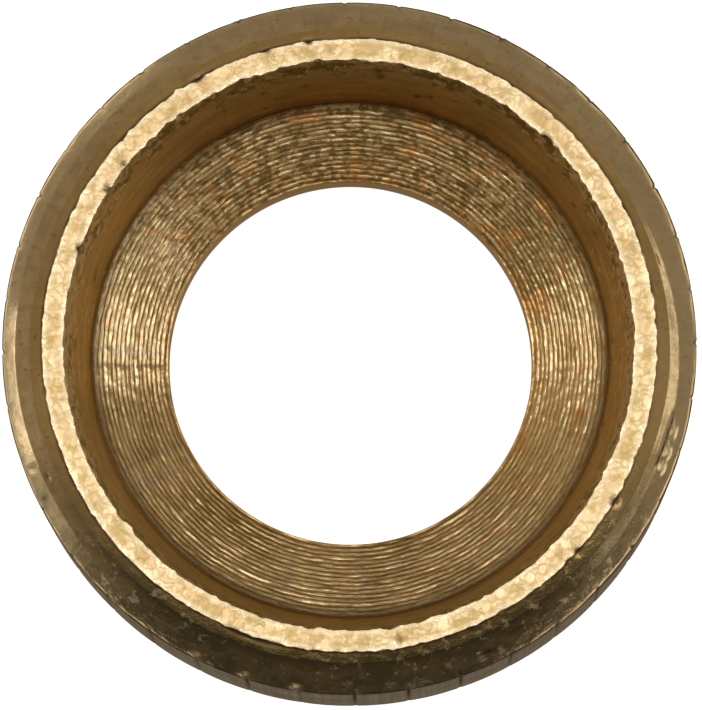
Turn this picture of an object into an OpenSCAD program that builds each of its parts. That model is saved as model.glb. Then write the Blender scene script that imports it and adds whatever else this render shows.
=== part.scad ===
// Collar of a brass hose fitting, turned from one bar.
// A tapered pocket with a drill-point floor opens at the face, a straight bore goes on
// through the web, and the back is flat. The collar stands on its back, its bore on Z.

/* [Outside] */
// Diameter of the straight outside
outer_d = 15; // [12:0.1:19]
// Height from the flat back to the face
ring_h = 7.2; // [6:0.1:12]
// Width of the break on the outside edge of the back
back_break = 0.15; // [0.05:0.05:0.5]

/* [Bevels and face] */
// Height of the lower bevel, which rises from the straight outside
lower_bevel_h = 0.45; // [0.2:0.01:1]
// Width of the lower bevel, measured inwards
lower_bevel_w = 0.37; // [0.1:0.01:0.7]
// Height of the upper bevel, which rises to the face
upper_bevel_h = 0.46; // [0.2:0.01:1]
// Width of the upper bevel, measured inwards
upper_bevel_w = 0.53; // [0.1:0.01:0.8]
// Width of the flat face between the upper bevel and the pocket
face_w = 0.46; // [0.2:0.01:1]

/* [Pocket] */
// Depth of the pocket's wall, from the face to the corner
pocket_depth = 4.65; // [2:0.05:6]
// Taper of the pocket's wall, in degrees on each side
pocket_taper = 6; // [1:0.5:10]
// Full angle of the cone that the drill's point leaves on the floor
floor_angle = 118; // [95:1:160]

/* [Bore] */
// Diameter of the straight bore through the web
bore_d = 8; // [6:0.1:10]
// Width of the break on the bore's edge at the back
bore_break = 0.1; // [0.05:0.05:0.2]

/* [Hidden] */
$fn = 180;

outer_r = outer_d / 2;
bore_r = bore_d / 2;

// Radii of the edges, from the outside inwards
bevel_edge_r = outer_r - lower_bevel_w;
face_outer_r = bevel_edge_r - upper_bevel_w;
mouth_r = face_outer_r - face_w;
corner_r = mouth_r - pocket_depth * tan(pocket_taper);

// Heights of the edges above the back
bevel_edge_z = ring_h - upper_bevel_h;
shoulder_z = bevel_edge_z - lower_bevel_h;
corner_z = ring_h - pocket_depth;
bore_top_z = corner_z - (corner_r - bore_r) / tan(floor_angle / 2);

// Half section, from the bore's back edge round the outside and back down the pocket
section = [
    [bore_r + bore_break, 0],
    [outer_r - back_break, 0],
    [outer_r, back_break],
    [outer_r, shoulder_z],
    [bevel_edge_r, bevel_edge_z],
    [face_outer_r, ring_h],
    [mouth_r, ring_h],
    [corner_r, corner_z],
    [bore_r, bore_top_z],
    [bore_r, bore_break]
];

module ring() {
    color("goldenrod")
        rotate_extrude()
            polygon(section);
}

ring();
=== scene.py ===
# Brass collar of a hose fitting, turned from bar and finished for a close look.
# Lengths on the collar and in the studio are millimetres, and MM turns them into metres.
import math

import bpy
from mathutils import Matrix, Vector


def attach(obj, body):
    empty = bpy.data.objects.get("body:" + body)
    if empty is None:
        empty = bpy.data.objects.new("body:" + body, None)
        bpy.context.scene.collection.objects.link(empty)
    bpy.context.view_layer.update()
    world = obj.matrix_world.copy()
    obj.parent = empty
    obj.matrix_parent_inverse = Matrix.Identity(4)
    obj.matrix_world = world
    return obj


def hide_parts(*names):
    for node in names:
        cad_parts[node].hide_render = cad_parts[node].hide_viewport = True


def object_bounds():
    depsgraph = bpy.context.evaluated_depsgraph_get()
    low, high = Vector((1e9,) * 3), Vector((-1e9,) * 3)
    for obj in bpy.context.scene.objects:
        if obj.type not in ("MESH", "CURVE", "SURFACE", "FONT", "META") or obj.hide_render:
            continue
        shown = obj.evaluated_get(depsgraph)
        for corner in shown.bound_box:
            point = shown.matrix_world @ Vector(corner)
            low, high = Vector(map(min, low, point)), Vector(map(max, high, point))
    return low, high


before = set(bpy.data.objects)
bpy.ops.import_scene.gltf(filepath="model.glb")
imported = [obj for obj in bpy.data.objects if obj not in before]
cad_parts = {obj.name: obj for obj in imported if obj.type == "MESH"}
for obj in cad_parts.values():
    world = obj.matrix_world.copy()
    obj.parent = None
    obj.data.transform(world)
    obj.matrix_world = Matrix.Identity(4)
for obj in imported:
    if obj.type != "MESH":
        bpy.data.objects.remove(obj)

cad_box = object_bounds()
MM = 0.001
TURN = 2 * math.pi


# ---------------------------------------------------------------- joining nodes

class Graph:
    """Adds nodes to a tree. A value is a number, a vector or another node's output."""

    def __init__(self, tree):
        self.tree = tree

    def socket(self, sockets, name):
        return next(s for s in sockets if s.enabled and name in (s.name, s.identifier))

    def feed(self, socket, value):
        if isinstance(value, bpy.types.NodeSocket):
            self.tree.links.new(value, socket)
        else:
            socket.default_value = value

    def node(self, kind, inputs=None, **settings):
        node = self.tree.nodes.new(kind)
        for name, value in settings.items():
            setattr(node, name, value)
        for name, value in (inputs or {}).items():
            self.feed(self.socket(node.inputs, name), value)
        return node

    def out(self, kind, name, inputs=None, **settings):
        return self.socket(self.node(kind, inputs, **settings).outputs, name)

    def math(self, operation, *values):
        node = self.node("ShaderNodeMath", operation=operation)
        for socket, value in zip(node.inputs, values):
            self.feed(socket, value)
        return node.outputs[0]

    def add(self, *values):
        total = values[0]
        for value in values[1:]:
            total = self.math("ADD", total, value)
        return total

    def times(self, *values):
        total = values[0]
        for value in values[1:]:
            total = self.math("MULTIPLY", total, value)
        return total

    def vector(self, operation, *values):
        node = self.node("ShaderNodeVectorMath", operation=operation)
        for socket, value in zip(node.inputs, values):
            self.feed(socket, value)
        return next(s for s in node.outputs if s.enabled)

    def mix(self, share, a, b):
        """Colour a at share 0, and colour b at share 1."""
        node = self.node("ShaderNodeMix", data_type="RGBA")
        for name, value in (("Factor", share), ("A", a), ("B", b)):
            whole = isinstance(value, tuple)
            self.feed(self.socket(node.inputs, name), (*value, 1.0) if whole else value)
        return self.socket(node.outputs, "Result")

    def combine(self, x, y, z):
        return self.out("ShaderNodeCombineXYZ", "Vector", {"X": x, "Y": y, "Z": z})

    def split(self, vector):
        return self.node("ShaderNodeSeparateXYZ", {"Vector": vector}).outputs

    def remap(self, value, low, high, to_low, to_high):
        return self.out("ShaderNodeMapRange", "Result", {
            "Value": value, "From Min": low, "From Max": high,
            "To Min": to_low, "To Max": to_high})

    def noise(self, vector, scale, detail=2.0, rough=0.5):
        """Smooth noise about 0, roughly from -1 to 1."""
        fac = self.node("ShaderNodeTexNoise", {
            "Vector": vector, "Scale": scale, "Detail": detail, "Roughness": rough}).outputs[0]
        return self.math("MULTIPLY_ADD", fac, 2.0, -1.0)


# ---------------------------------------------------------------- the turned section

def read_edges(node):
    """The collar's edges as (radius, height) in mm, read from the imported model."""
    points = set()
    for vertex in node.data.vertices:
        x, y, z = vertex.co / MM
        points.add((round(math.hypot(x, y), 3), round(z, 3)))
    top = max(z for r, z in points)
    outside = max(r for r, z in points)
    bore = min(r for r, z in points)

    def furthest(a, b, inside):
        """The point that stands furthest from the line a-b, among those that pass inside."""
        def distance(p):
            return abs((b[0] - a[0]) * (p[1] - a[1]) - (b[1] - a[1]) * (p[0] - a[0]))
        return max(filter(inside, points), key=distance)

    face = sorted(p for p in points if p[1] == top)
    back = sorted(p for p in points if p[1] == 0)
    wall = sorted((p for p in points if p[0] == outside), key=lambda p: p[1])
    hole = sorted((p for p in points if p[0] == bore), key=lambda p: p[1])
    mouth, face_edge = face[0], face[-1]
    return {
        "bore_low": hole[0], "bore_top": hole[-1],
        "corner": furthest(hole[-1], mouth, lambda p: p[0] <= mouth[0] and p[1] >= hole[-1][1]),
        "mouth": mouth, "face_edge": face_edge,
        "bevel_edge": furthest(face_edge, wall[-1],
                               lambda p: p[0] >= face_edge[0] and p[1] >= wall[-1][1]),
        "shoulder": wall[-1], "outside_low": wall[0],
        "back_out": back[-1], "back_in": back[0],
    }


GROOVE_PITCH = 0.1      # feed of the cut on the pocket's floor, per turn
ROWS_PER_GROOVE = 3
GROOVE_RUN_IN = 0.25    # the grooves reach their depth this far in from the corner
SEAMS = 40              # axial seams round the outside, left by the drawn bar
STEPS_PER_SEAM = 18
FIRST_SEAM = math.radians(0.8)
SEAM_RUN_OUT = 0.2      # the seams fade over this length past the foot of the outside
STAGE_SHARE = 0.44      # how far down the upper bevel its second stage starts
STAGE_BULGE = 0.011     # how far that start stands proud of the straight bevel
BURR_STEP = 0.025       # height of the burr that the facing cut rolled over the bevel
BURR_LEAN = 0.25        # how far the burr leans out, as a share of its height
LIP_SHARE = 0.02        # how much of the straight outside the shoulder's lip takes
CHATTER_DEPTH = 2.0     # how far down the pocket's wall the tool chattered
CHATTER_RISE = 1.2      # length over which the chatter grows to its full depth
CORNER_SOFTNESS = 0.02

# Each band of the section has a finish, and each point a weight for every mark the tools left, and for
# the painted shade (outline, corner) and burnish with a painted highlight (rim).
FINISHES = ["bore", "floor", "wall", "face", "bevel_a", "bevel_b", "bevel_c", "outside", "back"]
MARKS = ("groove", "floor", "seam", "shoulder", "wander", "stage", "rag", "rim", "outline",
         "corner", "chatter", "hammer")


def part_way(a, b, share):
    return tuple(p + (q - p) * share for p, q in zip(a, b))


def section_stretches(edge):
    """The section from the bore round to the bore: finish, start, end, rows between them."""
    mouth, face_edge, bevel_edge = edge["mouth"], edge["face_edge"], edge["bevel_edge"]
    chatter = part_way(mouth, edge["corner"], CHATTER_DEPTH / (mouth[1] - edge["corner"][1]))
    under_burr = (face_edge[0] + BURR_LEAN * BURR_STEP, face_edge[1] - BURR_STEP)
    on_bevel = part_way(face_edge, bevel_edge, STAGE_SHARE)
    stage = (on_bevel[0] + STAGE_BULGE, on_bevel[1] + STAGE_BULGE)
    lip = part_way(edge["shoulder"], edge["outside_low"], LIP_SHARE)
    grooves = round((edge["corner"][0] - edge["bore_top"][0]) / GROOVE_PITCH)
    return [
        ("bore", edge["bore_low"], edge["bore_top"], 2),
        ("floor", edge["bore_top"], edge["corner"], ROWS_PER_GROOVE * grooves),
        ("wall", edge["corner"], chatter, 4),
        ("wall", chatter, mouth, 8),
        ("face", mouth, face_edge, 8),
        ("bevel_a", face_edge, under_burr, 1),
        ("bevel_a", under_burr, stage, 8),
        ("bevel_b", stage, bevel_edge, 9),
        ("bevel_c", bevel_edge, edge["shoulder"], 9),
        ("outside", edge["shoulder"], lip, 1),
        ("outside", lip, edge["outside_low"], 3),
        ("back", edge["outside_low"], edge["back_out"], 1),
        ("back", edge["back_out"], edge["back_in"], 2),
        ("back", edge["back_in"], edge["bore_low"], 1),
    ]


def section_line(stretches):
    """Points in order round the section, and for each the finish up to it and how far along."""
    points, finishes, alongs, corners = [], [], [], []
    travelled = 0.0
    for name, a, b, rows in stretches:
        length = math.dist(a, b)
        soft = min(CORNER_SOFTNESS, 0.25 * length)
        for row in range(rows + 1):
            stop = soft + (length - 2 * soft) * row / rows
            points.append(part_way(a, b, stop / length))
            finishes.append(name)
            alongs.append(travelled + stop)
        corners.append(len(points))
        points.append(b)
        finishes.append(name)
        travelled += length
        alongs.append(travelled)
    for i in corners:       # each corner is pulled in between its two neighbours
        before, after = points[i - 1], points[(i + 1) % len(points)]
        points[i] = tuple((p + 2 * q + n) / 4 for p, q, n in zip(before, points[i], after))
    return points, finishes, alongs


def clamped(value):
    return max(0.0, min(1.0, value))


def hat(along, centre, reach):
    """1 at the centre, falling in a straight line to 0 at the reach."""
    return max(0.0, 1 - abs(along - centre) / reach)


def mark_weights(stretches, finishes, alongs):
    """How much of each tool mark, and of the painted shade and highlight at the edges and the corner,
    each point of the section takes.
    """
    ends, travelled = [], 0.0
    for name, a, b, rows in stretches:
        travelled += math.dist(a, b)
        ends.append(travelled)
    floor_start, corner, chatter, mouth, face_edge = ends[:5]
    under_burr, stage, bevel_edge, shoulder = ends[5:9]
    outside_low = ends[10]
    weights = {name: [] for name in MARKS}
    row_pitch = (corner - floor_start) / (finishes.count("floor") - 2)
    for finish, along in zip(finishes, alongs):
        row = round((along - floor_start) / row_pitch) % ROWS_PER_GROOVE
        in_groove = finish == "floor" and along < corner - 0.5 * row_pitch and row > 0
        run_in = clamped((corner - along) / GROOVE_RUN_IN)
        weights["groove"].append(-run_in if in_groove else 0.0)
        from_floor_ends = min(along - floor_start - 0.06, corner - 0.1 - along)
        weights["floor"].append(clamped(from_floor_ends / 0.1))
        rise = clamped((along - bevel_edge) / (shoulder - bevel_edge))
        fall = clamped((outside_low + SEAM_RUN_OUT - along) / SEAM_RUN_OUT)
        weights["seam"].append(rise ** 5 * fall)
        weights["shoulder"].append(hat(along, shoulder, 0.08))
        weights["wander"].append(hat(along, bevel_edge, shoulder - bevel_edge))
        weights["stage"].append(hat(along, stage, stage - under_burr))
        inner_rag = hat(along, mouth, 0.15)
        outer_rag = hat(along, face_edge, 0.15 if along < face_edge else 0.03)
        weights["rag"].append(outer_rag - inner_rag)
        # Burnish along both edges of the face, with a painted highlight.
        weights["rim"].append(max(hat(along, mouth + 0.03, 0.08),
                                  hat(along, face_edge - 0.03, 0.08)))
        # Painted shade: a dark line under the burr, just past the face's outer edge.
        weights["outline"].append(hat(along, under_burr, 0.07) if along > face_edge else 0.0)
        # Painted shade in the corner where the floor meets the pocket's wall.
        weights["corner"].append(hat(along, corner, 0.35))
        on_wall = clamped((along - chatter) / CHATTER_RISE)
        weights["chatter"].append(on_wall if along < mouth else 0.0)
        on_face = mouth - 0.03 < along < face_edge + 0.02
        weights["hammer"].append(1.0 if on_face else 0.12)
    return weights


def make_section(edge):
    """The section as a loose line in the X-Z plane, closed by a copy of its first point."""
    stretches = section_stretches(edge)
    points, finishes, alongs = section_line(stretches)
    mesh = bpy.data.meshes.new("section")
    mesh.from_pydata([(r, 0, z) for r, z in points + points[:1]],
                     [(i, i + 1) for i in range(len(points))], [])
    for name, values in mark_weights(stretches, finishes, alongs).items():
        layer = mesh.attributes.new(name, "FLOAT", "POINT")
        layer.data.foreach_set("value", values + values[:1])
    layer = mesh.attributes.new("finish", "INT", "EDGE")
    numbers = [FINISHES.index(name) for name in finishes[1:] + finishes[:1]]
    layer.data.foreach_set("value", numbers)
    section = bpy.data.objects.new("section", mesh)
    bpy.context.scene.collection.objects.link(section)
    return section


NICKS = [
    # degrees round from +X, radius, distance below the face, reach round, reach across, depth, tone
    # (a depth below 0 raises a burr, where keep_in_blank leaves it room; tone 1 paints the nick dark,
    # -1 paints it bright)
    (119.3, 6.61, 0.00, 0.12, 0.07, 0.06, 1.0),
    (105.6, 6.58, 0.00, 0.07, 0.06, 0.03, 0.8),
    (151.0, 6.63, -0.02, 0.13, 0.05, -0.03, -0.9),
    (154.5, 6.65, -0.02, 0.12, 0.06, -0.03, -0.9),
    (-30.7, 6.62, 0.01, 0.07, 0.08, 0.07, 1.0),
    (-42.2, 6.62, 0.01, 0.06, 0.08, 0.07, 1.0),
    (-81.7, 6.54, -0.01, 0.06, 0.15, -0.05, -1.2),
    (-84.0, 6.62, -0.01, 0.16, 0.05, -0.03, -1.0),
    (-73.5, 6.63, -0.01, 0.12, 0.05, -0.02, -0.7),
    (-96.8, 6.64, 0.02, 0.03, 0.08, 0.04, 1.0),
    (97.8, 6.62, 0.00, 0.07, 0.07, 0.05, 0.9),
    (-80.3, 6.44, 0.00, 0.05, 0.08, 0.04, 0.55),
    (147.1, 6.17, 0.00, 0.06, 0.10, 0.07, 0.75),
    (141.2, 6.21, 0.00, 0.05, 0.08, 0.04, 0.8),
    (160.3, 6.14, 0.05, 0.10, 0.10, 0.05, 1.0),
    (49.5, 6.17, 0.00, 0.30, 0.05, -0.03, -0.6),
    (46.0, 6.12, 0.05, 0.35, 0.08, 0.06, 1.0),
    (-66.2, 7.22, 0.56, 0.16, 0.07, 0.04, 1.0),
    (-67.5, 7.30, 0.64, 0.16, 0.05, -0.04, -0.6),
    (-13.2, 7.16, 0.46, 0.17, 0.05, 0.022, 1.0),
    (-15.6, 7.13, 0.44, 0.17, 0.05, 0.025, 1.0),
    (-17.9, 7.12, 0.44, 0.17, 0.05, 0.025, 1.0),
    (-20.2, 7.10, 0.43, 0.15, 0.05, 0.020, 0.9),
    (-14.8, 7.25, 0.57, 0.20, 0.06, -0.04, -0.7),
    (-18.6, 7.24, 0.56, 0.11, 0.08, -0.07, -1.0),
    (-21.4, 7.23, 0.55, 0.12, 0.08, -0.06, -1.0),
    (15.7, 6.93, 0.28, 0.10, 0.05, 0.012, 0.3),
    (-108.3, 6.64, 0.06, 0.60, 0.06, 0.03, 1.0),
    (-116.3, 7.40, 0.80, 0.12, 0.09, -0.08, -0.9),
    (-107.5, 7.41, 0.81, 0.10, 0.09, -0.08, -0.9),
    (-98.8, 7.41, 0.81, 0.13, 0.09, -0.09, -1.0),
    (-88.9, 7.42, 0.82, 0.08, 0.08, -0.06, -0.7),
    (-80.0, 7.41, 0.81, 0.08, 0.08, -0.06, -0.6),
    (-156.5, 7.05, 0.38, 0.08, 0.08, 0.02, 0.4),
    (-159.0, 7.30, 0.64, 0.04, 0.16, 0.02, 0.5),
    (-153.5, 7.32, 0.68, 0.05, 0.12, 0.02, 0.7),
]


def make_nicks(height):
    """A loose point at each nick, which holds the nick's reaches, depth and tone."""
    mesh = bpy.data.meshes.new("nicks")
    places = []
    for degrees, radius, below, *_ in NICKS:
        a = math.radians(degrees)
        places.append((radius * math.cos(a), radius * math.sin(a), height - below))
    mesh.from_pydata(places, [], [])
    for column, name in enumerate(("reach round", "reach across", "depth", "tone"), start=3):
        layer = mesh.attributes.new(name, "FLOAT", "POINT")
        layer.data.foreach_set("value", [nick[column] for nick in NICKS])
    nicks = bpy.data.objects.new("nicks", mesh)
    bpy.context.scene.collection.objects.link(nicks)
    return nicks


# ---------------------------------------------------------------- turning it

WELD = 0.001            # points nearer than this are one point
CLEAR_OF_TOP = 0.0001   # the face stays this far under the blank's top

# What the turning tree is given: counts, an angle, depths in mm and the seed of its noise.
TURNING = {
    "Steps round": SEAMS * STEPS_PER_SEAM,
    "Seams": SEAMS,
    "First seam": FIRST_SEAM,
    "Seam depth": 0.03,
    "Groove depth": 0.0165,
    "Groove skip": 0.011,
    "Edge wander": 0.03,
    "Bevel run-out": 0.77,
    "Ragged edge": 0.042,
    "Chatter depth": 0.07,
    "Hammer depth": 0.012,
    "Seed": 4.0,
}


def turning_tree(materials, blank_radius, blank_height):
    """Turns the section round the axis, cuts the tool marks and gives each band its finish."""
    tree = bpy.data.node_groups.new("turn the section", "GeometryNodeTree")
    tree.interface.new_socket("Geometry", in_out="INPUT", socket_type="NodeSocketGeometry")
    tree.interface.new_socket("Geometry", in_out="OUTPUT", socket_type="NodeSocketGeometry")
    for name, value in TURNING.items():
        kind = "Int" if isinstance(value, int) else "Float"
        tree.interface.new_socket(name, in_out="INPUT", socket_type=f"NodeSocket{kind}")
    tree.interface.new_socket("Nicks", in_out="INPUT", socket_type="NodeSocketObject")
    g = Graph(tree)
    given = g.node("NodeGroupInput").outputs
    body = turned_body(g, given)
    body = cut_marks(g, given, body)
    body = keep_in_blank(g, body, blank_radius, blank_height)
    body = g.out("GeometryNodeTransform", "Geometry", {"Geometry": body, "Scale": (MM, MM, MM)})
    body = g.out("GeometryNodeSetShadeSmooth", "Geometry", {"Geometry": body})
    body = g.out("GeometryNodeRealizeInstances", "Geometry", {"Geometry": body})
    for number, name in enumerate(FINISHES):
        mine = g.node("FunctionNodeCompare", data_type="INT", operation="EQUAL")
        tested, wanted = [s for s in mine.inputs if s.enabled]
        g.feed(tested, named(g, "finish", "INT"))
        g.feed(wanted, number)
        body = g.out("GeometryNodeSetMaterial", "Geometry", {
            "Geometry": body, "Selection": mine.outputs[0], "Material": materials[name]})
    g.feed(g.node("NodeGroupOutput").inputs[0], body)
    return tree


def named(g, name, kind="FLOAT"):
    return g.out("GeometryNodeInputNamedAttribute", "Attribute", {"Name": name}, data_type=kind)


def whole(g, operation, a, b):
    """Whole-number arithmetic."""
    node = g.node("FunctionNodeIntegerMath", operation=operation)
    g.feed(node.inputs[0], a)
    g.feed(node.inputs[1], b)
    return node.outputs[0]


def turned_body(g, given):
    """A grid with a row for each point of the section, swung round the axis, welded and turned
    right side out."""
    section = given["Geometry"]

    def sample(value, kind, at, domain="POINT"):
        return g.out("GeometryNodeSampleIndex", "Value",
                     {"Geometry": section, "Value": value, "Index": at},
                     data_type=kind, domain=domain)

    def store(body, name, value, kind, domain):
        return g.out("GeometryNodeStoreNamedAttribute", "Geometry",
                     {"Geometry": body, "Name": name, "Value": value},
                     data_type=kind, domain=domain)

    rows = g.out("GeometryNodeAttributeDomainSize", "Point Count", {"Geometry": section})
    index = g.out("GeometryNodeInputIndex", "Index")
    body = g.out("GeometryNodeMeshGrid", "Mesh", {
        "Vertices X": whole(g, "ADD", given["Steps round"], 1), "Vertices Y": rows})
    row = whole(g, "MODULO", index, rows)
    step = whole(g, "DIVIDE", index, rows)
    point = sample(g.out("GeometryNodeInputPosition", "Position"), "FLOAT_VECTOR", row)
    radius, _, height = g.split(point)
    turn = g.times(g.math("DIVIDE", step, given["Steps round"]), TURN)
    angle = g.add(turn, given["First seam"])
    swung = g.combine(g.times(radius, g.math("COSINE", angle)),
                      g.times(radius, g.math("SINE", angle)), height)
    body = g.out("GeometryNodeSetPosition", "Geometry", {"Geometry": body, "Position": swung})
    for name in MARKS:
        body = store(body, name, sample(named(g, name), "FLOAT", row), "FLOAT", "POINT")
    band = whole(g, "MODULO", index, whole(g, "SUBTRACT", rows, 1))
    finish = sample(named(g, "finish", "INT"), "INT", band, "EDGE")
    body = store(body, "finish", finish, "INT", "FACE")
    body = g.out("GeometryNodeMergeByDistance", "Geometry", {"Geometry": body, "Distance": WELD})
    return g.out("GeometryNodeFlipFaces", "Mesh", {"Mesh": body})


class Surface:
    """Where the points of the turned body lie, in each of the ways that a mark follows."""

    def __init__(self, g, given):
        self.place = g.out("GeometryNodeInputPosition", "Position")
        x, y, self.height = g.split(self.place)
        self.outwards = g.vector("NORMALIZE", g.combine(x, y, 0.0))
        self.angle = g.math("ARCTAN2", y, x)
        seed = g.combine(0.0, 0.0, given["Seed"])
        self.seeded = g.vector("ADD", self.place, seed)
        self.round_only = g.vector("ADD", self.outwards, seed)
        cosine = g.math("COSINE", self.angle)
        self.to_right = g.math("MAXIMUM", cosine, 0.0)
        self.to_left = g.math("MAXIMUM", g.times(cosine, -1.0), 0.0)


def white_noise(g, number):
    """A value between 0 and 1 for each whole number."""
    return g.out("ShaderNodeTexWhiteNoise", "Value", {"W": number}, noise_dimensions="1D")


def floor_marks(g, given, at):
    """The floor's grooves, how they skip sideways from sector to sector, and the joints between."""
    floor = named(g, "floor")
    bent_turn = g.add(g.times(at.angle, 5.5), g.times(g.noise(at.round_only, 3.0, 2.0), 3.0))
    sector = white_noise(g, g.math("FLOOR", bent_turn))
    skip = g.add(g.times(sector, 1.4), g.math("FRACT", bent_turn), -1.2)
    from_joint = g.math("PINGPONG", bent_turn, 0.5)
    eased = g.remap(from_joint, 0.0, 0.2, 0.0, 1.0)
    skips = g.times(floor, given["Groove skip"], skip, eased)
    seen = white_noise(g, g.math("FLOOR", g.add(bent_turn, 0.5, 40.0)))
    joint = g.times(g.remap(from_joint, 0.0, 0.07, 1.0, 0.0), floor, seen)
    each_groove = g.vector("MULTIPLY", at.seeded, (1.6, 1.6, 30.0))
    fade = g.remap(g.noise(each_groove, 1.0, 3.0, 0.6), -0.4, 0.4, 0.1, 1.7)
    grooves = g.times(named(g, "groove"), given["Groove depth"], fade,
                      g.math("SUBTRACT", 1.0, g.times(joint, 0.4)))
    return grooves, skips, joint, sector


def seam_marks(g, given, at):
    """The seams down the outside, the worn shoulder above them, the dirt and painted shade that darken
    the slits and the shoulder, and the polish and painted highlight on the shoulder beside the seams.
    """
    seam, edge = named(g, "seam"), named(g, "shoulder")
    turns = g.math("DIVIDE", g.math("SUBTRACT", at.angle, given["First seam"]), TURN)
    count = g.times(turns, given["Seams"])
    from_seam = g.math("PINGPONG", g.math("FRACT", count), 0.5)
    own = white_noise(g, g.math("FLOOR", g.add(count, 0.5, 200.0)))
    lower = g.remap(at.height, 1.0, 5.5, 0.35, 1.0)
    uneven = g.times(g.remap(g.noise(at.seeded, 1.3), -0.4, 0.4, 0.6, 1.4), lower,
                     g.add(0.5, g.times(own, 0.7)))
    slit = g.times(g.remap(from_seam, 0.0, 0.055, -1.0, 0.0), uneven)
    facet = g.times(g.math("POWER", g.math("SUBTRACT", 0.5, from_seam), 2.0), -0.6)
    seams = g.times(seam, given["Seam depth"], g.add(slit, facet, -0.25))
    lip = g.remap(from_seam, 0.03, 0.1, 0.5, 0.0)
    dips = g.remap(g.noise(at.seeded, 2.2, 3.0), -0.5, 0.5, -1.0, 0.2)
    shoulder = g.times(edge, given["Seam depth"], g.add(lip, dips))
    # Dirt and painted shade darken the seams' slits and the shoulder, most in its dips.
    grime = g.add(g.times(seam, g.remap(from_seam, 0.0, 0.06, 1.0, 0.0), uneven, 1.2),
                  g.times(edge, g.remap(dips, -0.7, -0.3, 1.3, 0.8)))
    # The shoulder beside each seam is painted bright: polish, and a painted highlight on its raised
    # lip.
    shine = g.times(edge, g.remap(from_seam, 0.03, 0.12, 1.0, 0.0))
    return seams, shoulder, grime, shine


def bevel_run_out(g, given, at):
    """How the bevels' edges slide up and down at the sides, because the bar sat off centre."""
    off_centre = g.math("MAXIMUM", g.math("SINE", g.add(at.angle, 0.17)), 0.0)
    squared = g.math("POWER", g.times(off_centre, at.to_right), 2.0)
    to_left = g.math("POWER", at.to_left, 8.0)
    run_out = g.add(g.times(named(g, "wander"), g.add(g.times(squared, -1.0),
                                                      g.times(to_left, 0.09))),
                    g.times(named(g, "stage"), at.to_right, 0.08))
    down_bevel = g.vector("ADD", at.outwards, (0.0, 0.0, -0.94))
    return scaled(g, down_bevel, g.times(run_out, given["Bevel run-out"]))


def cut_marks(g, given, body):
    """Moves the surface along its normal for each tool mark, and the edges in and out."""
    at = Surface(g, given)
    grooves, skips, joint, sector = floor_marks(g, given, at)
    seams, shoulder, seam_dirt_and_shade, seam_polish_and_highlight = seam_marks(g, given, at)
    wander = g.times(named(g, "wander"), given["Edge wander"], g.noise(at.round_only, 2.0, 2.0))
    stage = g.times(named(g, "stage"), given["Edge wander"], g.noise(at.round_only, 3.1, 2.0), 0.5)
    torn = g.noise(g.vector("MULTIPLY", at.seeded, (1.0, 1.0, 0.7)), 4.5, 2.0, 0.6)
    chatter = g.times(named(g, "chatter"), given["Chatter depth"], torn)
    hammer = g.times(named(g, "hammer"), given["Hammer depth"], g.noise(at.seeded, 3.5, 0.5))
    bowl, depth, tone = nearest_nick(g, given, at)
    dent = g.times(bowl, depth, -1.0)
    lift = g.add(grooves, seams, shoulder, wander, stage, chatter, hammer, dent)

    small = g.noise(at.seeded, 5.0, 0.8, 0.6)
    large = g.noise(at.seeded, 1.4, 2.0)
    torn_bits = g.times(small, g.math("ABSOLUTE", small), 3.0)
    ragged = g.times(named(g, "rag"), given["Ragged edge"],
                     g.add(torn_bits, g.times(small, 0.5), g.times(large, 0.8),
                           g.times(at.to_right, 0.4)))
    normal = g.out("GeometryNodeInputNormal", "Normal")
    offset = g.vector("ADD", scaled(g, normal, lift),
                      scaled(g, at.outwards, g.add(ragged, skips)))
    offset = g.vector("ADD", offset, bevel_run_out(g, given, at))

    # Dirt and painted shade: the seams and shoulder, painted shade under the burr and in the pocket's
    # corner, and the nicks' dark tone.
    grime = g.add(
        seam_dirt_and_shade,
        g.times(named(g, "outline"), g.remap(large, -0.3, 0.3, 0.25, 0.95)),
        g.times(named(g, "corner"), 0.55),
        g.times(bowl, g.math("MAXIMUM", tone, 0.0)))
    # Polish and painted highlight: the face's rims, the shoulder beside the seams, and the nicks'
    # bright tone.
    shine = g.add(
        g.times(named(g, "rim"), g.remap(small, -0.4, 0.2, 0.3, 1.0)),
        seam_polish_and_highlight,
        g.times(bowl, g.math("MAXIMUM", g.times(tone, -1.0), 0.0)))
    for name, value in (("grime", grime), ("shine", shine), ("joint", joint), ("sector", sector)):
        body = g.out("GeometryNodeStoreNamedAttribute", "Geometry", {
            "Geometry": body, "Name": name, "Value": g.math("MINIMUM", value, 1.0)},
            data_type="FLOAT", domain="POINT")
    return g.out("GeometryNodeSetPosition", "Geometry", {"Geometry": body, "Offset": offset})


def nearest_nick(g, given, at):
    """How far each point lies in the nearest nick, from 0 to 1, and its depth and tone."""
    nicks = g.out("GeometryNodeObjectInfo", "Geometry", {"Object": given["Nicks"]})
    nearest = g.out("GeometryNodeSampleNearest", "Index", {"Geometry": nicks})

    def of_nick(value, kind="FLOAT"):
        return g.out("GeometryNodeSampleIndex", "Value",
                     {"Geometry": nicks, "Value": value, "Index": nearest}, data_type=kind)

    centre = of_nick(g.out("GeometryNodeInputPosition", "Position"), "FLOAT_VECTOR")
    apart = g.vector("SUBTRACT", at.place, centre)
    round_way = g.vector("CROSS_PRODUCT", (0.0, 0.0, 1.0), at.outwards)
    round_part = g.vector("DOT_PRODUCT", apart, round_way)
    across = g.vector("LENGTH", g.vector("SUBTRACT", apart, scaled(g, round_way, round_part)))
    share_round = g.math("DIVIDE", round_part, of_nick(named(g, "reach round")))
    share_across = g.math("DIVIDE", across, of_nick(named(g, "reach across")))
    share = g.add(g.math("POWER", share_round, 2.0), g.math("POWER", share_across, 2.0))
    bowl = g.math("EXPONENT", g.times(share, -1.0))
    return bowl, of_nick(named(g, "depth")), of_nick(named(g, "tone"))


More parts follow.
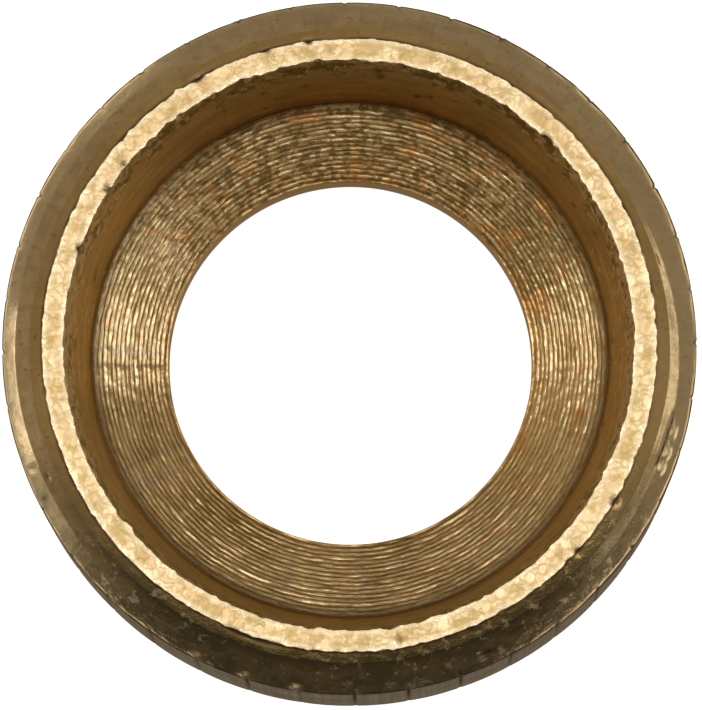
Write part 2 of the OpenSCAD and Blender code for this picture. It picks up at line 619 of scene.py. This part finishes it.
def scaled(g, vector, amount):
    node = g.node("ShaderNodeVectorMath", {"Vector": vector, "Scale": amount}, operation="SCALE")
    return node.outputs[0]


def keep_in_blank(g, body, radius, height):
    """Nothing stands outside the bar that the collar was turned from: on the face, which is the
    bar's own end, whatever a mark would raise is held flat."""
    x, y, z = g.split(g.out("GeometryNodeInputPosition", "Position"))
    reach = g.vector("LENGTH", g.combine(x, y, 0.0))
    inward = g.math("MINIMUM", 1.0, g.math("DIVIDE", radius, reach))
    kept = g.combine(g.times(x, inward), g.times(y, inward),
                     g.math("MAXIMUM", 0.0, g.math("MINIMUM", z, height)))
    return g.out("GeometryNodeSetPosition", "Geometry", {"Geometry": body, "Position": kept})


def run_tree(source, tree, values, name):
    """Runs the tree on the source, with its inputs set, and returns the result as a plain mesh."""
    modifier = source.modifiers.new(tree.name, "NODES")
    modifier.node_group = tree
    for item in tree.interface.items_tree:
        if item.item_type == "SOCKET" and item.in_out == "INPUT" and item.name in values:
            modifier[item.identifier] = values[item.name]
    graph = bpy.context.evaluated_depsgraph_get()
    mesh = bpy.data.meshes.new_from_object(source.evaluated_get(graph), depsgraph=graph)
    mesh.name = name
    made = bpy.data.objects.new(name, mesh)
    bpy.context.scene.collection.objects.link(made)
    source.modifiers.remove(modifier)
    bpy.data.objects.remove(source)
    return made


# ---------------------------------------------------------------- brass finishes

# The colour of polish and of painted highlights.
BRIGHT_BRASS = (0.98, 0.84, 0.60)
CLEAN_BRASS = (0.90, 0.66, 0.35)
DULL_BRASS = (0.80, 0.54, 0.24)
GREEN_BRASS = (0.70, 0.55, 0.27)
# Dark brown of dirt, also used for painted shade.
DIRT_AND_SHADE_BROWN = (0.10, 0.06, 0.022)


def new_material(name):
    material = bpy.data.materials.new(name)
    material.use_nodes = True
    return material


class Brass(Graph):
    """A brass finish. Its fields follow the collar: in mm, round it, and out from the axis."""

    def __init__(self, name):
        self.material = new_material(name)
        super().__init__(self.material.node_tree)
        self.place = scaled(self, self.out("ShaderNodeTexCoord", "Object"), 1 / MM)
        x, y, self.height = self.split(self.place)
        self.radius = self.vector("LENGTH", self.combine(x, y, 0.0))
        self.outwards = self.vector("NORMALIZE", self.combine(x, y, 0.0))
        self.grime = self.mark("grime")
        self.shine = self.mark("shine")

    def mark(self, name):
        """A weight that the turning left on the surface: a tool mark, dirt and painted shade, or polish
        and painted highlight.
        """
        return self.out("ShaderNodeAttribute", "Fac", attribute_name=name)

    def streaks(self, round_rate, across, across_rate):
        """Noise drawn out round the collar: rates are how fast it changes each way."""
        ahead = scaled(self, self.outwards, round_rate)
        return self.vector("ADD", ahead, self.combine(0.0, 0.0, self.times(across, across_rate)))

    def finish(self, colour, rough, relief, relief_height, edge_tint=(1.0, 1.0, 1.0)):
        """Puts dirt and painted shade, and polish and painted highlight, over the colour, and sets the
        shader.
        """
        shader = self.tree.nodes["Principled BSDF"]
        shader.inputs["Specular Tint"].default_value = (*edge_tint, 1.0)
        # Towards bright brass where polished and where a highlight is painted.
        colour = self.mix(self.times(self.shine, 0.8), colour, BRIGHT_BRASS)
        # Towards the dark brown of dirt and painted shade, and near black, with the metal taken away,
        # where these are deepest.
        deep_dirt_and_shade = self.remap(self.grime, 0.6, 1.0, 0.0, 1.0)
        colour = self.mix(self.remap(self.grime, 0.0, 0.7, 0.0, 0.95), colour, DIRT_AND_SHADE_BROWN)
        colour = self.mix(deep_dirt_and_shade, colour, (0.02, 0.014, 0.008))
        worn = self.add(rough, self.times(self.grime, 0.15), self.times(deep_dirt_and_shade, 0.5),
                        self.times(self.shine, -0.06))
        metal = self.math("SUBTRACT", 1.0, deep_dirt_and_shade)
        bump = self.out("ShaderNodeBump", "Normal", {
            "Height": relief, "Distance": relief_height * MM, "Strength": 1.0})
        for name, value in (("Base Color", colour), ("Metallic", metal), ("Roughness", worn),
                            ("Normal", bump)):
            self.feed(shader.inputs[name], value)
        return self.material


def faced_brass():
    """The face: struck flat and satin, in pale flakes with darker seams and fine cracks."""
    b = Brass("faced brass")
    bend = b.out("ShaderNodeTexNoise", "Color", {"Vector": b.place, "Scale": 3.5, "Detail": 1.0})
    bent = b.vector("ADD", b.place, scaled(b, bend, 0.35))
    flake = {"Vector": bent, "Scale": 4.2}
    tone = b.split(b.out("ShaderNodeTexVoronoi", "Color", flake))["X"]
    seam = b.out("ShaderNodeTexVoronoi", "Distance", flake, feature="DISTANCE_TO_EDGE")
    grain = b.noise(b.streaks(26.0, b.radius, 7.0), 1.0, 2.0, 0.5)
    cloud = b.noise(b.place, 1.0, 3.0)
    blots = b.noise(b.place, 2.6, 3.0, 0.6)
    colour = b.mix(tone, (0.98, 0.80, 0.50), (0.82, 0.59, 0.32))
    colour = b.mix(b.remap(grain, -0.1, 0.35, 0.0, 0.7), colour, (0.62, 0.42, 0.19))
    colour = b.mix(b.remap(cloud, -0.05, 0.2, 0.0, 0.6), colour, (0.88, 0.64, 0.37))
    colour = b.mix(b.remap(blots, 0.0, 0.16, 0.0, 0.8), colour, (0.56, 0.40, 0.16))
    colour = b.mix(b.remap(seam, 0.0, 0.22, 0.5, 0.0), colour, (0.50, 0.34, 0.15))
    cracks = b.times(b.remap(seam, 0.0, 0.09, 0.35, 0.0), b.remap(cloud, -0.1, 0.15, 1.0, 0.0))
    colour = b.mix(cracks, colour, (0.42, 0.28, 0.12))
    relief = b.add(blots, b.math("MINIMUM", b.times(seam, 2.0), 0.5))
    return b.finish(colour, b.remap(grain, -0.5, 0.5, 0.24, 0.34), relief, 0.006)


def drilled_brass():
    """The pocket's floor: grooves from the feed, dirty in their valleys and painted darker there
    towards the back, and worn bright on top in broken dashes that are partly painted glints.
    """
    b = Brass("drilled brass")
    crest = b.add(b.mark("groove"), 1.0)
    fine = b.noise(b.streaks(14.0, b.radius, 30.0), 1.0, 2.0, 0.5)
    dashes = b.noise(b.streaks(27.0, b.radius, 8.0), 1.0, 1.0)
    patches = b.noise(b.place, 1.4, 3.0)
    tints = b.noise(b.place, 2.0, 2.0)
    sector = b.mark("sector")
    # Dirt in the groove valleys, painted darker towards the back as shade.
    valley_dirt_and_shade = b.times(b.remap(crest, 0.0, 0.6, 1.0, 0.0), b.remap(patches, -0.25, 0.25, 0.3, 0.9),
                   b.add(0.25, sector))
    # Crests worn bright in broken dashes, which are also painted glints.
    worn = b.times(crest, b.mark("floor"), b.remap(dashes, 0.0, 0.12, 0.0, 1.0))
    at_back = b.remap(b.split(b.outwards)["Y"], 0.1, 0.8, 0.2, 1.0)
    valley_dirt_and_shade = b.times(valley_dirt_and_shade, b.add(0.8, b.times(at_back, 0.6)))
    # Gaps between the dashes painted dark, most at the back, as shade.
    gaps = b.times(b.remap(dashes, 0.02, -0.12, 0.0, 0.9), at_back)
    colour = b.mix(b.remap(fine, -0.4, 0.4, 0.0, 1.0), (1.0, 0.78, 0.46), (0.91, 0.64, 0.34))
    colour = b.mix(b.remap(patches, 0.0, 0.4, 0.0, 0.6), colour, GREEN_BRASS)
    # Orange patches from noise, from one spot, and towards the upper right of the floor.
    from_orange_spot = b.vector("DISTANCE", b.place, (0.08, 4.3, 1.7))
    orange_spot = b.remap(from_orange_spot, 0.1, 0.65, 0.4, 0.0)
    to_back = b.vector("DOT_PRODUCT", b.outwards, (0.09, 0.12, 0.0))
    orange_patches = b.remap(b.add(tints, to_back, orange_spot), 0.2, 0.45, 0.0, 0.65)
    colour = b.mix(valley_dirt_and_shade, colour, (0.42, 0.29, 0.12))
    colour = b.mix(gaps, colour, (0.34, 0.24, 0.11))
    colour = b.mix(b.times(worn, 0.95), colour, (1.0, 0.86, 0.57))
    colour = b.mix(orange_patches, colour, (0.88, 0.46, 0.19))
    colour = b.mix(b.times(b.mark("joint"), 0.8), colour, (0.66, 0.59, 0.48))
    rough = b.remap(dashes, -0.3, 0.3, 0.26, 0.15)
    relief = b.add(fine, b.times(dashes, b.remap(at_back, 0.2, 1.0, 1.2, 3.0)))
    return b.finish(colour, rough, relief, 0.003)


def reamed_brass():
    """The pocket's wall: smooth and brown low down; towards the mouth, dark flakes with painted shade
    under the rim, most at the back, and chips painted light at the sides.
    """
    b = Brass("reamed brass")
    streaks = b.noise(b.streaks(4.0, b.height, 2.2), 1.0, 3.0, 0.6)
    patches = b.noise(b.place, 1.6, 3.0)
    stretched = b.vector("MULTIPLY", b.place, (1.0, 1.0, 0.5))
    torn = b.noise(stretched, 2.6, 4.0, 0.65)
    chips = b.noise(b.vector("ADD", stretched, (9.0, 3.0, 5.0)), 5.0, 3.0, 0.6)
    to_mouth = b.mark("chatter")
    low = b.times(b.math("SUBTRACT", 1.0, to_mouth), -0.32)
    x, y, _ = b.split(b.outwards)
    # Dark flakes near the mouth, which also paint the shade under the rim, stronger at the back.
    flakes_and_mouth_shade = b.times(b.remap(b.add(torn, low), -0.12, 0.08, 0.0, 1.0),
                     b.remap(y, -0.6, 0.6, 0.65, 0.9))
    # Painted light: chips near the mouth are lighter at the left and right sides.
    at_sides = b.add(b.times(x, x, x, x, 0.26), b.times(x, 0.02), -0.14)
    lit = b.remap(b.add(chips, low, at_sides), -0.02, 0.07, 0.0, 0.85)
    colour = b.mix(b.remap(patches, -0.3, 0.3, 0.0, 1.0), (0.66, 0.48, 0.21), (0.52, 0.37, 0.15))
    colour = b.mix(b.remap(streaks, 0.0, 0.3, 0.0, 0.5), colour, (0.76, 0.58, 0.28))
    colour = b.mix(b.remap(streaks, 0.0, -0.3, 0.0, 0.35), colour, (0.38, 0.27, 0.11))
    colour = b.mix(flakes_and_mouth_shade, colour, (0.23, 0.15, 0.04))
    colour = b.mix(lit, colour, (0.80, 0.62, 0.37))
    rough = b.add(b.remap(patches, -0.5, 0.5, 0.3, 0.42), b.times(flakes_and_mouth_shade, 0.1))
    relief = b.add(b.times(flakes_and_mouth_shade, -1.0), lit)
    return b.finish(colour, rough, relief, 0.008, edge_tint=(0.85, 0.68, 0.42))


def bevel_brass(name, clean, stained, rough):
    """A bevel: smooth, tarnished in patches, and blotched and scuffed on its front side."""
    b = Brass(name)
    patches = b.noise(b.place, 2.2, 4.0, 0.65)
    grain = b.noise(b.streaks(70.0, b.height, 2.0), 1.0, 2.0, 0.5)
    specks = b.noise(b.place, 7.0, 2.0)
    blotches = b.noise(b.place, 2.0, 4.0, 0.65)
    scuffs = b.noise(b.vector("ADD", b.place, (4.0, 7.0, 2.0)), 3.4, 4.0, 0.7)
    in_front = b.remap(b.split(b.outwards)["Y"], -0.3, -0.75, 0.0, 1.0)
    colour = b.mix(b.remap(patches, -0.2, 0.2, 0.0, 1.0), clean, stained)
    colour = b.mix(b.remap(grain, 0.1, 0.7, 0.0, 0.2), colour, DIRT_AND_SHADE_BROWN)
    colour = b.mix(b.remap(specks, 0.3, 0.5, 0.0, 0.4), colour, DIRT_AND_SHADE_BROWN)
    dark = b.times(in_front, b.math("MAXIMUM", b.remap(blotches, -0.02, 0.16, 0.0, 0.5),
                                    b.times(b.mark("stage"), 0.8)))
    colour = b.mix(dark, colour, (0.28, 0.26, 0.15))
    scuffed = b.times(in_front, b.remap(scuffs, 0.14, 0.26, 0.0, 1.0))
    colour = b.mix(b.times(scuffed, 0.5), colour, (0.95, 0.82, 0.60))
    relief = b.add(b.times(grain, 0.3), patches, b.times(blotches, in_front, 4.0))
    worn = b.add(b.remap(patches, -0.5, 0.5, rough - 0.03, rough + 0.05),
                 b.times(scuffed, 0.25), b.times(b.shine, 0.35))
    return b.finish(colour, worn, relief, 0.003)


def drawn_brass():
    """The outside: faint lines along the bar, cloudy tarnish and a few scratches."""
    b = Brass("drawn brass")
    lines = b.noise(b.streaks(110.0, b.height, 0.04), 1.0, 1.0, 0.5)
    clouds = b.noise(b.place, 0.6, 5.0, 0.65)
    spots = b.noise(b.place, 2.4, 4.0, 0.6)
    scratches = b.noise(b.streaks(12.0, b.height, 9.0), 1.0, 1.0)
    colour = b.mix(b.remap(lines, -0.5, 0.5, 0.0, 1.0), (0.90, 0.68, 0.38), (0.76, 0.55, 0.285))
    colour = b.mix(b.remap(clouds, -0.05, 0.3, 0.0, 0.45), colour, (0.66, 0.48, 0.24))
    colour = b.mix(b.remap(spots, 0.2, 0.4, 0.0, 0.35), colour, (0.46, 0.34, 0.17))
    rough = b.add(b.remap(clouds, -0.3, 0.3, 0.17, 0.28), b.remap(lines, -0.4, 0.4, -0.04, 0.06))
    relief = b.add(b.times(lines, 0.25), b.remap(scratches, 0.42, 0.5, 0.0, -1.5))
    return b.finish(colour, rough, relief, 0.003, edge_tint=(0.52, 0.44, 0.33))


def bored_brass():
    """The bore: fine rings from the drill's lands."""
    b = Brass("bored brass")
    rings = b.noise(b.streaks(6.0, b.height, 22.0), 1.0, 3.0, 0.6)
    colour = b.mix(b.remap(rings, -0.4, 0.4, 0.0, 1.0), (0.97, 0.68, 0.38), (0.86, 0.58, 0.30))
    return b.finish(colour, b.remap(rings, -0.5, 0.5, 0.24, 0.36), rings, 0.003,
                    edge_tint=(0.90, 0.70, 0.42))


def parted_brass():
    """The back: rings left by the parting tool, and handling stains."""
    b = Brass("parted brass")
    rings = b.noise(b.streaks(8.0, b.radius, 16.0), 1.0, 4.0, 0.6)
    stains = b.noise(b.place, 0.7, 4.0, 0.6)
    colour = b.mix(b.remap(rings, -0.4, 0.4, 0.0, 1.0), CLEAN_BRASS, DULL_BRASS)
    colour = b.mix(b.remap(stains, 0.0, 0.5, 0.0, 0.45), colour, (0.62, 0.42, 0.20))
    return b.finish(colour, b.remap(rings, -0.5, 0.5, 0.26, 0.4), rings, 0.006)


def collar_materials():
    return {
        "bore": bored_brass(),
        "floor": drilled_brass(),
        "wall": reamed_brass(),
        "face": faced_brass(),
        "bevel_a": bevel_brass("bevel brass, inner", (0.84, 0.58, 0.27), (0.75, 0.50, 0.22), 0.18),
        "bevel_b": bevel_brass("bevel brass, outer", (0.96, 0.69, 0.375), (0.79, 0.555, 0.29), 0.17),
        "bevel_c": bevel_brass("lower bevel brass", (0.89, 0.66, 0.355), (0.76, 0.56, 0.295), 0.19),
        "outside": drawn_brass(),
        "back": parted_brass(),
    }


# ---------------------------------------------------------------- studio

def pale_floor():
    """Plain pale floor with a glow of its own, as a lit table has. Polished brass doesn't mirror it."""
    mesh = bpy.data.meshes.new("floor")
    half = 0.6              # metres, far past the edges of the view
    low = -0.02 * MM        # a hair under the collar's back, so that the two don't flicker
    mesh.from_pydata([(-half, -half, low), (half, -half, low), (half, half, low),
                      (-half, half, low)], [], [(0, 1, 2, 3)])
    floor = bpy.data.objects.new("floor", mesh)
    bpy.context.scene.collection.objects.link(floor)
    material = new_material("pale floor")
    shader = material.node_tree.nodes["Principled BSDF"]
    shader.inputs["Base Color"].default_value = (0.85, 0.85, 0.85, 1)
    shader.inputs["Roughness"].default_value = 1.0
    shader.inputs["Emission Color"].default_value = (1, 1, 1, 1)
    shader.inputs["Emission Strength"].default_value = 0.85
    material.cycles.emission_sampling = "NONE"
    mesh.materials.append(material)
    floor.visible_glossy = False


WHITE = (1, 1, 1)
WARM_WHITE = (1.0, 0.88, 0.64)
COOL_WHITE = (0.93, 1.0, 1.0)


def soft_light(name, place, aim, size, brightness, tint=WHITE):
    """A rectangular soft box in mm. Brightness 1 is as bright as a fully lit white card."""
    width, height = size[0] * MM, size[1] * MM
    light = bpy.data.lights.new(name, "AREA")
    light.shape = "RECTANGLE"
    light.size, light.size_y = width, height
    light.energy = math.pi * width * height * brightness
    light.color = tint
    box = bpy.data.objects.new(name, light)
    box.location = Vector(place) * MM
    box.rotation_euler = (Vector(aim) * MM - box.location).to_track_quat("-Z", "Y").to_euler()
    box.visible_camera = False
    bpy.context.scene.collection.objects.link(box)


def dim_room():
    """A dim warm room, darkest in front, with brighter bands low down at its sides and back."""
    world = bpy.data.worlds.new("dim room")
    world.use_nodes = True
    g = Graph(world.node_tree)
    x, y, z = g.split(g.out("ShaderNodeTexCoord", "Generated"))
    background = world.node_tree.nodes["Background"]
    colour = g.mix(g.remap(z, -0.15, 0.1, 0.0, 1.0), (1.0, 0.92, 0.80), (1.0, 0.86, 0.62))
    g.feed(background.inputs["Color"], colour)
    low = g.remap(y, -0.8, -0.25, 0.055, 0.23)
    high = g.remap(y, -0.9, 0.6, 0.265, 0.30)
    share = g.remap(z, 0.38, 0.46, 0.0, 1.0)
    below = g.remap(z, -0.8, -0.5, 0.19, 0.0)
    to_side = g.math("ABSOLUTE", x)
    sides = g.times(g.remap(to_side, 0.42, 0.58, 0.0, 1.0), g.remap(to_side, 0.84, 0.94, 1.0, 0.2),
                    g.add(0.85, g.times(x, 0.2)))
    behind = g.remap(y, 0.1, 0.6, 0.0, 0.1)
    lower_half = g.times(g.remap(z, -0.42, -0.31, 1.0, 0.0), g.remap(z, -0.75, -0.6, 0.0, 1.0))
    strength = g.add(low, g.times(share, g.math("SUBTRACT", high, low)),
                     g.times(lower_half, g.add(sides, behind)))
    g.feed(background.inputs["Strength"], g.math("MAXIMUM", strength, below))
    bpy.context.scene.world = world


def close_camera(aim, azimuth, elevation, distance, lens):
    """A long lens that looks down on the collar, with the top of its view towards +Y."""
    a, e = math.radians(azimuth), math.radians(elevation)
    back = Vector((math.sin(a) * math.cos(e), -math.cos(a) * math.cos(e), math.sin(e)))
    right = Vector((0, 1, 0)).cross(back).normalized()
    up = back.cross(right)
    data = bpy.data.cameras.new("camera")
    data.lens, data.sensor_width = lens, 36
    data.clip_start, data.clip_end = 0.01, 10
    camera = bpy.data.objects.new("camera", data)
    turn = Matrix((right, up, back)).transposed()
    camera.matrix_world = Matrix.Translation((Vector(aim) + back * distance) * MM) @ turn.to_4x4()
    bpy.context.scene.collection.objects.link(camera)
    bpy.context.scene.camera = camera
    bpy.context.scene.view_settings.view_transform = "Standard"


# ---------------------------------------------------------------- the scene

edges = read_edges(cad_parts["ring"])
lowest, highest = cad_box
blank_radius = min(highest[0], highest[1], -lowest[0], -lowest[1]) / MM
blank_height = edges["mouth"][1]

close_camera(aim=(0.041, -0.222, blank_height), azimuth=3.54, elevation=85.98,
             distance=238.5, lens=563)
dim_room()
pale_floor()
collar = (0, 0, 7)
soft_light("overhead box", (0, 8, 150), collar, (80, 76), 0.545)
for name, x, y, brightness in (("right bank", 1, 0, 1.4), ("back bank", 0, 1, 1.2),
                               ("left bank", -1, 0, 1.5), ("front bank", 0, -1, 0.7)):
    soft_light(name, (62 * x, 62 * y, 130), collar, (40, 110) if x else (110, 40), brightness)
soft_light("right box", (87, -22, 60), collar, (70, 26), 0.86)
soft_light("left box", (-91, 0, 60), collar, (46, 38), 0.12, WARM_WHITE)
soft_light("back box", (-20, 90, 55), collar, (120, 40), 0.1)
soft_light("left strip", (-26, -1.9, 2.9), (0, -1.9, 8), (12.2, 2.5), 1.5)
soft_light("lower left strip", (-24, -12.0, 2.9), (0, -3, 8), (7, 2.5), 0.3)
soft_light("right strip", (40, 4.5, 9.2), (0, 4.5, 7), (30, 3.6), 0.8, COOL_WHITE)
soft_light("lower right strip", (38.8, -20.7, 9.4), (0, 0, 7), (20, 3.4), 0.3, COOL_WHITE)

tree = turning_tree(collar_materials(), blank_radius, highest[2] / MM - CLEAR_OF_TOP)
nicks = make_nicks(blank_height)
ring = run_tree(make_section(edges), tree, {**TURNING, "Nicks": nicks}, "turned_ring")
bpy.data.objects.remove(nicks)
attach(ring, "root")
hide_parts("ring")
